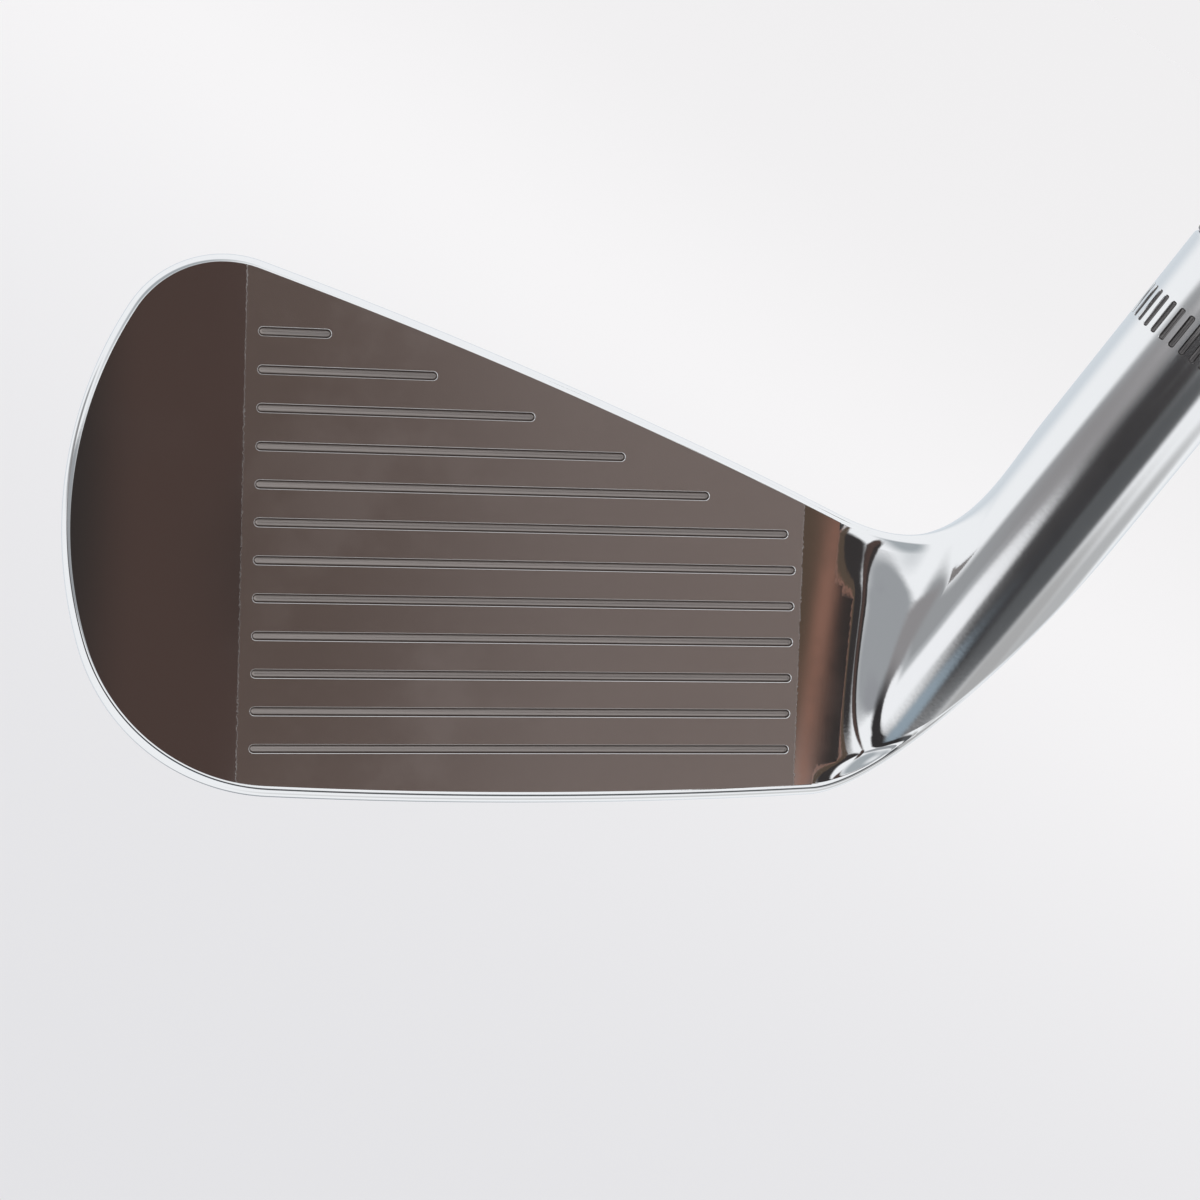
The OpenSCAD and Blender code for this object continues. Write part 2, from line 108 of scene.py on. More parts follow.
# ---------- Outline of the flat face, as arcs of [radius, turn] ----------
OUTLINE_START = np.array([58.3, 23.3])
OUTLINE_HEADING, TOE_HEADING, LEAD_HEADING = map(math.radians, (155.6, 270, 357.2))
TOE_HIGH_TURN, TOE_SIDE_TURN = math.radians(76.4), math.radians(48.8)
TOP_LINE_R, LEAD_R = 550.0, 540.0
TOP_TURN = 62.5 / TOP_LINE_R
TOE_UP_TURN = TOE_HEADING - OUTLINE_HEADING - TOP_TURN - TOE_HIGH_TURN
OUTLINE = [(TOP_LINE_R, TOP_TURN), (9.8, TOE_HIGH_TURN), (38.5, TOE_UP_TURN),
           (38.5, TOE_SIDE_TURN - TOE_UP_TURN),
           (18.9, LEAD_HEADING - TOE_HEADING - TOE_SIDE_TURN + TOE_UP_TURN), (LEAD_R, 54.5 / LEAD_R)]


def left_of(heading):
    return np.array([-np.sin(heading), np.cos(heading)])


HEADINGS, CENTRES = [OUTLINE_HEADING], []
start = OUTLINE_START
for radius, turn in OUTLINE:
    CENTRES.append(start + radius * left_of(HEADINGS[-1]))
    HEADINGS.append(HEADINGS[-1] + turn)
    start = CENTRES[-1] - radius * left_of(HEADINGS[-1])


def outline_pt(k, f, inset=0.0):
    """Point on arc k at the fraction f of its turn, moved inwards by inset."""
    radius, turn = OUTLINE[k]
    return CENTRES[k] - (radius - inset) * left_of(HEADINGS[k] + f * turn)


TOE_S = outline_pt(3, 0)[0]

# ---------- Skin of the head ----------
SIDE, CORNER, LINE = 25, 45, 64
BLADE = SIDE + CORNER + LINE
EDGE_STEPS, WALL_STEPS, FACE_N, BACK_N, BACK_POWER = 7, 10, 40, 30, 2.8
RIM_N = 2 * EDGE_STEPS + WALL_STEPS
RING_N = FACE_N + 2 * RIM_N + BACK_N
NECK, PIPE, NECK_MID, NECK_TILT, FACE_POWER, PULL_POWER = 150, 40, 39.0, 1.0, 1.6, 1.5
FRONT_DROP, FRONT_AT, FRONT_POWER = 34.0, math.radians(12), 3.4
VALLEY_FOOT, VALLEY_SPREAD, VALLEY_END, VALLEY_HEEL, CREST_SOFT = 6.2, 0.5, (12, 20), (1, 5), 0.6
VALLEY_HEEL_TURN, VALLEY_TOP_TURN = math.radians(25), math.radians(20)
CROTCH_PULL, HEEL_PULL = np.array([1.95, 0.95]), np.array([0.66, 0.62])


def ring_place(i):
    if i <= SIDE:
        return 0, i / SIDE
    if i <= SIDE + CORNER:
        return 1, (i - SIDE) / CORNER
    return 2, (i - SIDE - CORNER) / LINE


def rim(edge, depth, slope, camber):
    """[outward offset, depth] from the front edge over the wall and the back edge."""
    wall = depth - BACK_EDGE_R - edge
    out = wall * slope
    rows = []
    for a in range(1, EDGE_STEPS + 1):
        t = a * math.pi / 2 / EDGE_STEPS
        rows.append((edge * math.sin(t), edge * (1 - math.cos(t))))
    for w in range(1, WALL_STEPS + 1):
        x = w / WALL_STEPS
        rows.append((edge - x * out + camber * 4 * x * (1 - x), edge + x * wall))
    for a in range(1, EDGE_STEPS + 1):
        t = a * math.pi / 2 / EDGE_STEPS
        rows.append((edge - out - BACK_EDGE_R * (1 - math.cos(t) + math.sin(t) * slope),
                     depth - BACK_EDGE_R * (1 - math.sin(t))))
    return rows


def half_rim(i, low):
    bend = smooth(i / (SIDE + CORNER))
    k, f = ring_place(i)
    if low:
        rows = rim(mix(EDGE_R, LEAD_EDGE_R, bend), mix(TOE_W, SOLE_W, bend),
                   math.tan(mix(TOE_DRAFT, SOLE_DRAFT, bend)), SOLE_CAMBER * bend)
        return np.array([[*outline_pt(3 + k, f, -out), -deep] for out, deep in rows])
    rows = rim(EDGE_R, mix(TOE_W, TOP_LINE_W, bend), math.tan(mix(TOE_DRAFT, TOP_DRAFT, bend)), 0)
    return np.array([[*outline_pt(2 - k, 1 - f, -out), -deep] for out, deep in rows])


def blade_ring(i):
    """From the leading edge up the face, over the top and down the back."""
    low, top = half_rim(i, True), half_rim(i, False)
    k, f = ring_place(i)
    f0, f1 = np.array([*outline_pt(3 + k, f), 0.0]), np.array([*outline_pt(2 - k, 1 - f), 0.0])
    face = [mix(f0, f1, (j / FACE_N) ** FACE_POWER) for j in range(FACE_N + 1)]
    a, b = top[-1], low[-1]
    back = []
    for j in range(1, BACK_N):
        x = j / BACK_N
        back.append([mix(a[0], b[0], x), mix(a[1], b[1], x), a[2] + (b[2] - a[2]) * x ** BACK_POWER])
    return np.vstack([face, top, back, low[::-1]])


FRONT = np.array([0.0, 0.0, 1.0]) - AXIS * AXIS[2]
FRONT /= np.linalg.norm(FRONT)
TOEWARD = np.cross(FRONT, AXIS)
AXIS_FOOT = np.array([HOSEL_S, 0.0, -HOSEL_BACK])
SHARES = [0, FACE_N, FACE_N + RIM_N, FACE_N + RIM_N + BACK_N, RING_N]
FACE_FROM, FACE_TO = math.radians(-48), math.radians(75)
ROUND = np.interp(np.arange(RING_N), SHARES, [FACE_FROM, FACE_TO, *np.radians([122, 238, 312])])
NECK_END = (NECK_MID + NECK_TILT * np.sin(ROUND)
            - FRONT_DROP * ((1 + np.cos(ROUND - FRONT_AT)) / 2) ** FRONT_POWER)


def hosel_ring(height, radius):
    side = np.outer(np.cos(ROUND), FRONT) + np.outer(np.sin(ROUND), TOEWARD)
    return AXIS_FOOT + np.multiply.outer(height * np.ones(RING_N), AXIS) + radius * side


AXIS_FLAT = math.hypot(AXIS[0], AXIS[1])
AXIS_ALONG = np.array([AXIS[0], AXIS[1], 0]) / AXIS_FLAT


def valley_height(x, axis_n, wide):
    """The hollow and crowned section between the face and the front of the hosel."""
    top = axis_n + HOSEL_R / AXIS_FLAT
    crest = (top + np.hypot(top, CREST_SOFT)) / 2
    tilt = 2 * np.arctan(crest / wide)
    crown = HOSEL_R * AXIS_FLAT
    hollow = wide / np.sin(tilt) - crown
    heel = crest - (HOSEL_R - np.sqrt(np.maximum(HOSEL_R**2 - x**2, 0))) / AXIS_FLAT
    hill = crest - crown + np.sqrt(np.maximum(crown**2 - x**2, 0))
    dale = hollow - np.sqrt(np.maximum(hollow**2 - (wide - x)**2, 0))
    return np.select([x < 0, x < crown * np.sin(tilt), x < wide], [heel, hill, dale], 0.0)


def in_valley(ring):
    """The ring with its front moved onto the valley."""
    ring, angle = ring.copy(), ROUND[:FACE_N + 1]
    away = ring[:FACE_N + 1] - AXIS_FOOT
    x, up = away @ TOEWARD, away @ AXIS_ALONG
    goal = valley_height(x, -HOSEL_BACK + up * AXIS[2] / AXIS_FLAT,
                         np.maximum(VALLEY_FOOT + VALLEY_SPREAD * up, 1))
    share = (smooth((VALLEY_HEEL[1] + x) / (VALLEY_HEEL[1] - VALLEY_HEEL[0]))
             * smooth((VALLEY_END[1] - up) / (VALLEY_END[1] - VALLEY_END[0]))
             * smooth((angle - FACE_FROM) / VALLEY_HEEL_TURN)
             * smooth((FACE_TO - angle) / VALLEY_TOP_TURN))
    ring[:FACE_N + 1, 2] += share * (goal - ring[:FACE_N + 1, 2])
    return ring


def neck_rings(last, before):
    end = hosel_ring(NECK_END, HOSEL_R)
    reach = np.linalg.norm(end - last, axis=1)[:, None]
    pull = mix(HEEL_PULL, CROTCH_PULL, (((1 + np.sin(ROUND)) / 2) ** PULL_POWER)[:, None]) * reach
    leave = last - before
    leave /= np.linalg.norm(leave, axis=1)[:, None]
    t0, t1 = leave * pull[:, :1], AXIS * pull[:, 1:]
    rings = []
    for i in range(1, NECK + 1):
        x = i / NECK
        rings.append(in_valley((2 * x**3 - 3 * x**2 + 1) * last + (x**3 - 2 * x**2 + x) * t0
                               + (3 * x**2 - 2 * x**3) * end + (x**3 - x**2) * t1))
    return rings


def head_skin():
    """One closed mesh: blade, neck, hosel, its rounded mouth and the socket. Returns points and faces."""
    rings = [blade_ring(i) for i in range(1, BLADE + 1)]
    rings += neck_rings(rings[-1], blade_ring(BLADE - 0.5))
    mouth = 0.5                    # rounding of the hosel's mouth
    foot, top = NECK_END, HOSEL_TOP - mouth
    rings += [in_valley(hosel_ring(mix(foot, top, x), HOSEL_R)) for x in np.linspace(0, 1, PIPE + 1)[1:]]
    for a in range(1, 6):
        t = a * math.pi / 10
        rings.append(hosel_ring(top + mouth * math.sin(t), HOSEL_R - mouth * (1 - math.cos(t))))
    bore = TIP_R + GLUE_T
    rings += [hosel_ring(HOSEL_TOP, bore), hosel_ring(HOSEL_TOP - SOCKET_DEPTH, bore)]
    toe = np.vstack([[[*outline_pt(2, 1), 0.0]], half_rim(0, False)])
    points = np.vstack([toe] + rings)

    def vertex(i, j):
        j %= RING_N
        if i > 0:
            return RIM_N + 1 + (i - 1) * RING_N + j
        if j <= FACE_N:
            return 0
        if j <= FACE_N + RIM_N:
            return j - FACE_N
        return RIM_N if j < FACE_N + RIM_N + BACK_N else RIM_N - (j - FACE_N - RIM_N - BACK_N)

    faces = [[vertex(0, 0)] + [vertex(i, FACE_N) for i in range(1, BLADE + 1)]
             + [vertex(BLADE, j) for j in range(FACE_N - 1, 0, -1)]
             + [vertex(i, 0) for i in range(BLADE, 0, -1)]]
    for i in range(len(rings)):
        for j in range(RING_N):
            if i >= BLADE or j >= FACE_N:
                quad = [vertex(i, j), vertex(i, j + 1), vertex(i + 1, j + 1), vertex(i + 1, j)]
                quad = [v for n, v in enumerate(quad) if v != quad[n - 1]]
                if len(quad) > 2:
                    faces.append(quad)
    faces.append([vertex(len(rings), j) for j in range(RING_N)])
    return points, faces


# ---------- Mesh helpers ----------
def new_mesh(name, points, faces):
    """An object from points in millimetres, in the club's frame."""
    mesh = bpy.data.meshes.new(name)
    mesh.from_pydata((np.asarray(points) * MM).tolist(), [], faces)
    work = bmesh.new()
    work.from_mesh(mesh)
    bmesh.ops.recalc_face_normals(work, faces=work.faces)
    work.to_mesh(mesh)
    work.free()
    obj = bpy.data.objects.new(name, mesh)
    bpy.context.scene.collection.objects.link(obj)
    return obj


def loft(rings):
    """Points and faces of a closed solid through rings of equal length."""
    n = len(rings[0])
    faces = [list(range(n))[::-1], list(range((len(rings) - 1) * n, len(rings) * n))]
    for i in range(len(rings) - 1):
        for j in range(n):
            k = (j + 1) % n
            faces.append([i * n + j, i * n + k, (i + 1) * n + k, (i + 1) * n + j])
    return np.vstack(rings), faces


def joined(solids):
    points, faces, base = [], [], 0
    for p, f in solids:
        points.append(p)
        faces += [[v + base for v in face] for face in f]
        base += len(p)
    return np.vstack(points), faces


def boolean(obj, cutter, operation="DIFFERENCE"):
    modifier = obj.modifiers.new("cut", "BOOLEAN")
    modifier.operation = operation
    modifier.solver = "MANIFOLD"
    modifier.object = cutter
    mesh = bpy.data.meshes.new_from_object(obj.evaluated_get(bpy.context.evaluated_depsgraph_get()))
    obj.modifiers.remove(modifier)
    old, obj.data = obj.data, mesh
    bpy.data.meshes.remove(old)
    bpy.data.objects.remove(cutter)


# ---------- Cuts in the head ----------
def stadium(length, half, corners=8):
    """Outline of a slot with round ends, centred on the origin, along X."""
    rows = []
    for side in (1, -1):
        for a in range(corners + 1):
            t = math.pi * (a / corners - 0.5)
            rows.append([side * (length / 2 - LINE_W / 2 + half * math.cos(t)), side * half * math.sin(t)])
    return np.array(rows)


def line_end(t):
    r = TOP_LINE_R - LINE_MARGIN
    return min(LINE_L, CENTRES[0][0] + math.sqrt(r * r - (t - CENTRES[0][1]) ** 2))


def score_line(k):
    """A groove with rounded lips, sloping walls and a round bottom."""
    t = k * LINE_PITCH + LINE_W / 2
    end = line_end(t)
    half = LINE_W / 2
    profile = [(half + 0.09, 0.03), (half + 0.05, -0.012), (half + 0.01, -0.045), (half - 0.01, -0.09),
               (half - 0.06, -0.26), (half - 0.13, -0.35), (half - 0.25, -LINE_DEPTH)]
    rings = []
    for w, z in profile:
        flat = stadium(end, w)
        level = np.full(len(flat), z)
        rings.append(to_club(np.column_stack([flat[:, 0] + end / 2, flat[:, 1] + t, level])))
    return loft(rings)


def hosel_slot(k):
    """A slot across the skin of the hosel, along its axis."""
    angle = k * 2 * math.pi / SLOT_COUNT
    out = np.array([math.cos(angle), math.sin(angle), 0])
    side = np.array([-math.sin(angle), math.cos(angle), 0])
    mid = np.array([0, 0, HOSEL_Z - SLOT_DROP - SLOT_L / 2])
    rings = []
    for grow, r in ((0.07, HOSEL_R + 0.05), (0.02, HOSEL_R - 0.04), (0, HOSEL_R - 0.09),
                    (-0.04, HOSEL_R - SLOT_DEPTH + 0.06), (-0.1, HOSEL_R - SLOT_DEPTH)):
        rows, h, w = [], SLOT_L / 2 + grow, SLOT_W / 2 + grow
        c = 0.22                   # rounding of the slot's corners
        for cx, cz, a0 in ((w - c, h - c, 0), (c - w, h - c, 1), (c - w, c - h, 2), (w - c, c - h, 3)):
            for a in range(5):
                t = (a0 + a / 4) * math.pi / 2
                rows.append(mid + out * r + side * (cx + c * math.cos(t)) + [0, 0, cz + c * math.sin(t)])
        rings.append(np.array(rows))
    return loft(rings)


def cavity_outline(grow):
    """The rounded outline of the cavity's floor, grown by grow, with the same corners for any grow."""
    core = []
    for k in range(len(OUTLINE)):
        for f in np.arange(0, 1, 1 / 16):
            core.append(outline_pt(k, f, RAIL_W + CAVITY_R))
    for normal, limit in (((0, -1), -(CAVITY_LOW + CAVITY_R)), ((1, 0), CAVITY_HEEL - CAVITY_R)):
        kept = []
        for n, q in enumerate(core):
            p = core[n - 1]
            dp, dq = np.dot(p, normal) - limit, np.dot(q, normal) - limit
            if (dp < 0) != (dq < 0):
                kept.append(p + (q - p) * dp / (dp - dq))
            if dq < 0:
                kept.append(q)
        core = kept
    core = [p for n, p in enumerate(core) if np.linalg.norm(p - core[n - 1]) > 0.02]
    rows = []
    for n, p in enumerate(core):
        before, after = p - core[n - 1], core[(n + 1) % len(core)] - p
        a0 = math.atan2(before[1], before[0]) - math.pi / 2
        turn = (math.atan2(after[1], after[0]) - math.pi / 2 - a0 + math.pi) % (2 * math.pi) - math.pi
        count = max(1, math.ceil(abs(turn) / math.radians(6)))
        for c in range(count + 1):
            a = a0 + turn * c / count
            rows.append(p + (CAVITY_R + grow) * np.array([math.cos(a), math.sin(a)]))
    return np.array(rows)


def cavity_slices(levels):
    """A solid through [grow, depth] levels of the cavity's outline."""
    rings = []
    for grow, depth in levels:
        flat = cavity_outline(grow)
        rings.append(to_club(np.column_stack([flat, np.full(len(flat), -depth)])))
    return loft(rings)


def weight_cylinder(radius, floor, count=96):
    rings = []
    for depth in (floor, SOLE_W + 1):
        a = np.arange(count) * 2 * math.pi / count
        rings.append(to_club(np.column_stack([TOE_S + WEIGHT_TOE_GAP + radius * np.cos(a),
                                              WEIGHT_T + radius * np.sin(a), np.full(count, -depth)])))
    return loft(rings)


CHROMED, FLAT, GROOVE, SLOT = range(4)
# What counts as the flat face, and the steepest lip that still shares its normal
FLAT_COSINE, FLAT_METRES, LIP_COSINE = 0.9999998, 3e-7, math.cos(math.radians(58))


def finish_of(places, away):
    """Which finish each polygon has, but for the flat face, from its place in the club's frame and its
    offset from the face's origin, both in millimetres."""
    along, up, out = (away @ TO_CLUB[:3, k] for k in range(3))
    row = np.clip(np.rint((up - LINE_W / 2) / LINE_PITCH), 0, LINE_COUNT - 1) * LINE_PITCH + LINE_W / 2
    ends = np.array([line_end(t) for t in row])
    groove = ((np.abs(up - row) < LINE_W / 2 + 0.02) & (along > -0.1) & (along < ends + 0.1)
              & (out < -0.05) & (out > -LINE_DEPTH - 0.01))
    high = places[:, 2] - HOSEL_Z + SLOT_DROP + SLOT_L / 2
    radius = np.hypot(places[:, 0], places[:, 1])
    slot = ((np.abs(high) < SLOT_L / 2 + 0.1) & (radius < HOSEL_R - 0.06)
            & (radius > HOSEL_R - SLOT_DEPTH - 0.01))
    return np.select([groove, slot], [GROOVE, SLOT], CHROMED)


def read(items, name, kind, width=1):
    """One value or vector of every mesh item, as an array."""
    values = np.empty(len(items) * width, kind)
    items.foreach_get(name, values)
    return values.reshape(-1, width) if width > 1 else values


def shade(obj, sharp_degrees, flat_face=False):
    """Smooth shading with sharp edges kept. The hitting face keeps its one flat normal."""
    mesh = obj.data
    mesh.shade_smooth()
    mesh.set_sharp_from_angle(angle=math.radians(sharp_degrees))
    if not flat_face:
        return
    normals, centres = (read(mesh.polygons, name, float, 3) for name in ("normal", "center"))
    starts, totals = (read(mesh.polygons, name, int) for name in ("loop_start", "loop_total"))
    away = centres - FACE_POINT
    flat = (normals @ FACE_NORMAL > FLAT_COSINE) & (np.abs(away @ FACE_NORMAL) < FLAT_METRES)
    order = np.argsort(starts)
    owner = np.repeat(order, totals[order])
    corner_vertex = read(mesh.loops, "vertex_index", int)
    on_face = np.zeros(len(mesh.vertices), bool)
    on_face[corner_vertex[flat[owner]]] = True
    corners = read(mesh.corner_normals, "vector", float, 3)
    near = on_face[corner_vertex] & (normals[owner] @ FACE_NORMAL > LIP_COSINE)
    corners[near] = FACE_NORMAL
    mesh.normals_split_custom_set(corners.tolist())
    return np.where(flat, FLAT, finish_of(centres / MM, away / MM))


def make_head():
    points, faces = head_skin()
    head = new_mesh("iron_head", np.clip(to_club(points), *(np.array(cad_bounds) / MM)), faces)
    plug = new_mesh("toe_plug", *weight_cylinder(WEIGHT_D / 2 - 0.04, WEIGHT_FLOOR))
    skin = head.copy()
    skin.data = head.data.copy()
    bpy.context.scene.collection.objects.link(skin)
    boolean(plug, skin, "INTERSECT")
    boolean(head, new_mesh("cutter", *joined([score_line(k) for k in range(LINE_COUNT)])))
    boolean(head, new_mesh("cutter", *joined([hosel_slot(k) for k in range(SLOT_COUNT)])))
    deep = SOLE_W + 1 - FACE_T
    boolean(head, new_mesh("cutter", *cavity_slices(
        [(0, FACE_T), (deep * math.tan(CAVITY_DRAFT), FACE_T + deep)])))
    boolean(head, new_mesh("cutter", *weight_cylinder(WEIGHT_D / 2, WEIGHT_FLOOR)))
    return head, plug


head, toe_plug = make_head()
head_finish = shade(head, 40, flat_face=True)
shade(toe_plug, 30)


# ---------- Turned pieces ----------
def turned(name, profile, sectors=96, sharp=32, bump=None):
    """A closed ring round the shaft axis from [radius, height] corners. bump(angle, height) moves it."""
    profile = np.array(profile, float)
    a = np.arange(sectors) * 2 * math.pi / sectors
    r = np.repeat(profile[:, :1], sectors, axis=1)
    z = np.repeat(profile[:, 1:], sectors, axis=1)
    if bump is not None:
        r = r + bump(a[None, :], z)
    points = np.stack([r * np.cos(a), r * np.sin(a), z], axis=2).reshape(-1, 3)
    faces, n = [], len(profile)
    for i in range(n):
        for j in range(sectors):
            k, m = (j + 1) % sectors, (i + 1) % n
            faces.append([i * sectors + j, i * sectors + k, m * sectors + k, m * sectors + j])
    obj = new_mesh(name, points, faces)
    shade(obj, sharp)
    return obj


def arc(cx, cz, radius, start, end, steps):
    """[radius, height] corners of a rounding, from one angle to another in degrees."""
    a = np.radians(np.linspace(start, end, steps + 1))
    return [[cx + radius * math.cos(t), cz + radius * math.sin(t)] for t in a]


def make_ferrule():
    """A softly swelling collar with a fine trim ring near its foot."""
    rows = [[TIP_R, HOSEL_Z]] + arc(HOSEL_R - 0.25, HOSEL_Z + 0.25, 0.25, -90, 0, 4)
    rows += [[HOSEL_R, HOSEL_Z + 1.5], [HOSEL_R - 0.14, HOSEL_Z + 1.62], [HOSEL_R - 0.14, HOSEL_Z + 1.95],
             [HOSEL_R - 0.05, HOSEL_Z + 2.05]]
    top = HOSEL_Z + FERRULE_L
    for x in np.linspace(0, 1, 25)[1:]:
        rows.append([mix(HOSEL_R - 0.05, FERRULE_TOP_R, x) + 0.12 * math.sin(math.pi * x),
                     mix(HOSEL_Z + 2.05, top - 0.6, x)])
    rows += arc(FERRULE_TOP_R - 0.6, top - 0.6, 0.6, 0, 90, 6) + [[TIP_R, top]]
    return turned("ferrule_collar", rows)


def make_shaft():
    """A stepped tube. Each step is a short cone with softly rounded ends."""
    fall = (BUTT_R - TIP_R) / STEP_COUNT
    outer = [[TIP_R, TIP_Z]]
    for k in range(STEP_COUNT, 0, -1):
        low, z = BUTT_R - k * fall, CLIP_HALF - (k - 1) * STEP_PITCH
        for x in np.linspace(0, 1, 9):
            outer.append([low + fall * smooth(x), z + STEP_SLOPE * x])
    outer.append([BUTT_R, BUTT_Z])
    inner = [[r - SHAFT_WALL, z] for r, z in outer[::-1]]
    return turned("stepped_shaft", outer + inner, 96, 40)


def grip_radius(z):
    x = np.clip((z - (CAP_FOOT_Z - GRIP_FLARE_L)) / GRIP_FLARE_L, 0, 1)
    y = np.clip((z - MOUTH_Z) / (CAP_FOOT_Z - GRIP_FLARE_L - MOUTH_Z), 0, 1)
    return np.where(z < CAP_FOOT_Z - GRIP_FLARE_L, mix(GRIP_MOUTH_R, GRIP_WAIST_R, y),
                    mix(GRIP_WAIST_R, GRIP_BUTT_R, x * x))


def grip_bump(angle, z):
    """Moulded pattern: bands of crossing grooves between plain bands with ring grooves at their ends."""
    first, band, plain = MOUTH_Z + 16, 34.0, 5.0
    starts, twist = 20, 9.0        # grooves round the grip each way, and the height of one crossing
    groove_depth, ring_depth = 0.42, 0.35
    step = band + plain
    along = (z - first) % step
    inside = (z > first) & (z < CAP_FOOT_Z - 10) & (along < band)
    edge = smooth(np.minimum(along, band - along) / 1.6)
    u, v = angle / (2 * math.pi) * starts, z / twist
    cross = np.maximum(np.cos(2 * math.pi * (u + v)), np.cos(2 * math.pi * (u - v)))
    grooves = np.where(inside, -groove_depth * smooth((cross - 0.72) / 0.25) * edge, 0)
    ring = np.minimum(np.abs(along - band - 0.9), np.abs(along - step + 0.9))
    rings = np.where((z > first - plain) & (z < CAP_FOOT_Z - 6), -ring_depth * smooth(1 - ring / 0.55), 0)
    return grooves + rings


def make_grip():
    tape_r, mouth = BUTT_R + TAPE_T, 0.7
    rows = [[BUTT_R, MOUTH_Z]] + arc(GRIP_MOUTH_R - mouth, MOUTH_Z + mouth, mouth, -90, 0, 6)
    heights = np.linspace(MOUTH_Z + mouth, CAP_FOOT_Z - 0.3, 560)[1:]
    rows += [[r, z] for r, z in zip(grip_radius(heights), heights)]
    skin = len(rows)
    rows += [[GRIP_BUTT_R - 0.3, CAP_FOOT_Z], [tape_r, CAP_FOOT_Z], [tape_r, MOUTH_Z + TAPE_SHORT],
             [BUTT_R, MOUTH_Z + TAPE_SHORT]]

    def bump(angle, z):
        depth = grip_bump(angle, z)
        depth[:8] = 0
        depth[skin:] = 0
        return depth
    return turned("rubber_grip", rows, 240, 60, bump)


def make_cap():
    """The end cap: a rounded disc with two shallow rings round its vent."""
    tape_r, r = BUTT_R + TAPE_T, CAP_R - CAP_ROUND
    rows = [[VENT_R, CAP_Z - 0.35], [VENT_R, BUTT_Z], [tape_r, BUTT_Z], [tape_r, CAP_FOOT_Z]]
    rows += arc(r, CAP_FOOT_Z + CAP_ROUND, CAP_ROUND, -90, 0, 10)
    rows += arc(r, CAP_Z - CAP_ROUND, CAP_ROUND, 0, 90, 10)
    for radii, deep in (((11.2, 10.9, 10.6, 10.0, 9.7, 9.4), 0.45),
                        ((4.6, 4.3, 4.05, 3.6, 3.35, 3.1), 0.4)):
        rows += [[radius, CAP_Z - low] for radius, low in zip(radii, (0, 0.1, deep, deep, 0.1, 0))]
    rows += arc(VENT_R + 0.35, CAP_Z - 0.35, 0.35, 90, 180, 4)[:-1]
    return turned("grip_end_cap", rows, 128, 35)


def make_plate():
    """The cavity's plate: rounded edge, a sunk border and a raised panel with a soft shoulder."""
    back = FACE_T + PAD_T
    levels = [(-FIT_GAP - 0.08, back), (-FIT_GAP, back + 0.08), (-FIT_GAP, back + PLATE_T / 2 - 0.12),
              (-FIT_GAP - 0.04, back + PLATE_T / 2 - 0.04), (-FIT_GAP - 0.12, back + PLATE_T / 2),
              (-FIT_GAP - PANEL_INSET + 0.12, back + PLATE_T / 2),
              (-FIT_GAP - PANEL_INSET + 0.04, back + PLATE_T / 2 + 0.04),
              (-FIT_GAP - PANEL_INSET, back + PLATE_T / 2 + 0.12),
              (-FIT_GAP - PANEL_INSET - 0.02, back + PLATE_T - 0.12),
              (-FIT_GAP - PANEL_INSET - 0.06, back + PLATE_T - 0.04),
              (-FIT_GAP - PANEL_INSET - 0.16, back + PLATE_T)]
    obj = new_mesh("cavity_badge", *cavity_slices(levels))
    shade(obj, 50)
    return obj


ferrule, shaft, grip, cap, plate = make_ferrule(), make_shaft(), make_grip(), make_cap(), make_plate()
for piece, node, slot in ((head, "head_body", "head_steel"), (toe_plug, "toe_weight", "tungsten"),
                          (ferrule, "ferrule", "ferrule"), (shaft, "shaft", "shaft_steel"),
                          (grip, "grip_sleeve", "grip_rubber"), (cap, "grip_cap", "grip_rubber"),
                          (plate, "cavity_plate", "badge")):
    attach(piece, "root")
    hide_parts(node)


# ---------- Looks ----------
class Nodes:
    """Short ways to make and join shader nodes."""

    def __init__(self, tree):
        self.tree = tree
        tree.nodes.clear()

    def add(self, kind, inputs=(), **settings):
        node = self.tree.nodes.new(kind)
        for key, value in settings.items():
            setattr(node, key, value)
        for socket, value in dict(inputs).items():
            self.set(node.inputs[socket], value)
        return node

    def set(self, socket, value):
        if isinstance(value, bpy.types.NodeSocket):
            self.tree.links.new(value, socket)
        elif isinstance(value, bpy.types.Node):
            self.tree.links.new(value.outputs[0], socket)
        else:
            socket.default_value = value

    def math(self, operation, *values):
        return self.add("ShaderNodeMath", dict(enumerate(values)), operation=operation).outputs[0]

    def dot(self, a, b):
        return self.add("ShaderNodeVectorMath", {0: a, 1: b}, operation="DOT_PRODUCT").outputs["Value"]

    def ramp(self, value, low, high, out_low=0.0, out_high=1.0):
        return self.add("ShaderNodeMapRange", {0: value, 1: low, 2: high, 3: out_low, 4: out_high},
                        interpolation_type="SMOOTHSTEP").outputs[0]

    def blend(self, factor, a, b):
        node = self.add("ShaderNodeMix", data_type="RGBA")
        for name, value in (("Factor_Float", factor), ("A_Color", a), ("B_Color", b)):
            socket = next(i for i in node.inputs if i.identifier == name)
            self.set(socket, value if isinstance(value, (bpy.types.NodeSocket, float)) else (*value, 1.0))
        return next(o for o in node.outputs if o.identifier == "Result_Color")

    def noise(self, vector, scale, detail=2.0, rough=0.5):
        return self.add("ShaderNodeTexNoise", {"Vector": vector, "Scale": scale, "Detail": detail,
                                               "Roughness": rough}).outputs["Fac"]

    def bump(self, height, strength, distance):
        return self.add("ShaderNodeBump", {"Height": height, "Strength": strength, "Distance": distance})


def material(name):
    mat = bpy.data.materials.new(name)
    mat.use_nodes = True
    nodes = Nodes(mat.node_tree)
    shader = nodes.add("ShaderNodeBsdfPrincipled")
    nodes.add("ShaderNodeOutputMaterial", {"Surface": shader})
    place = nodes.add("ShaderNodeTexCoord").outputs["Object"]
    return mat, nodes, shader, place


